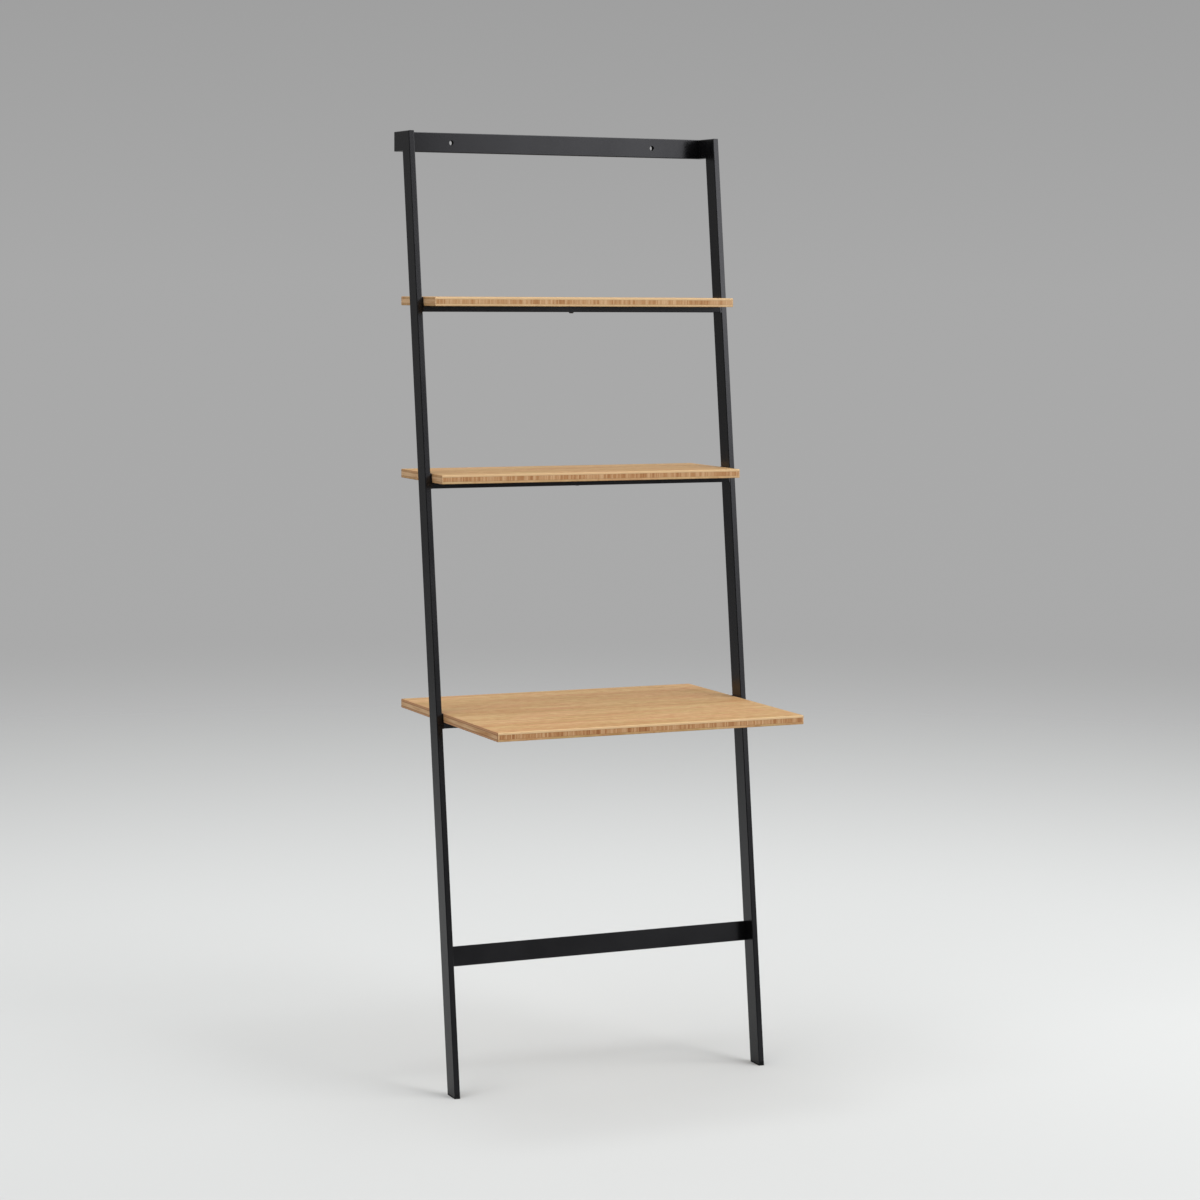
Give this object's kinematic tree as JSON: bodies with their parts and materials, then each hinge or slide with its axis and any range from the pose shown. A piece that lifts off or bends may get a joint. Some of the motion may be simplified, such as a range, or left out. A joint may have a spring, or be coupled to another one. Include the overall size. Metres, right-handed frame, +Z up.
{
  "type": "ladder desk",
  "caption": "Leaning ladder desk: slim steel tube side posts with a wall rail and a foot rail carry a deep plywood desk board and two shallower shelves above it.",
  "frame": {"origin": "on the floor, midway between the posts and midway between the wall and the desk's front edge", "axes": "+X to the right seen from the front, +Y back to the wall, +Z up"},
  "size_m": [0.692, 0.525, 1.92],
  "materials": {
    "frame_paint": "satin black powder coat",
    "bamboo_ply": "clear satin lacquer on bamboo plywood",
    "black_plastic": "matte moulded",
    "black_screws": "black oxide, satin",
    "insert_steel": "zinc plated"
  },
  "bodies": {
    "root": {"left_post": "frame_paint", "left_wall_arm": "frame_paint", "left_arm_plug": "black_plastic", "left_foot_glide": "black_plastic", "right_post": "frame_paint", "right_wall_arm": "frame_paint", "right_arm_plug": "black_plastic", "right_foot_glide": "black_plastic", "wall_rail": "frame_paint", "foot_rail": "frame_paint", "top_shelf_bar": "frame_paint", "top_shelf_left_plate": "frame_paint", "top_shelf_right_plate": "frame_paint", "top_shelf_board": "bamboo_ply", "middle_shelf_bar": "frame_paint", "middle_shelf_left_plate": "frame_paint", "middle_shelf_right_plate": "frame_paint", "middle_shelf_board": "bamboo_ply", "desk_bar": "frame_paint", "desk_left_plate": "frame_paint", "desk_right_plate": "frame_paint", "desk_board": "bamboo_ply", "board_inserts": "insert_steel", "board_screws": "black_screws"}
  },
  "joints": []
}
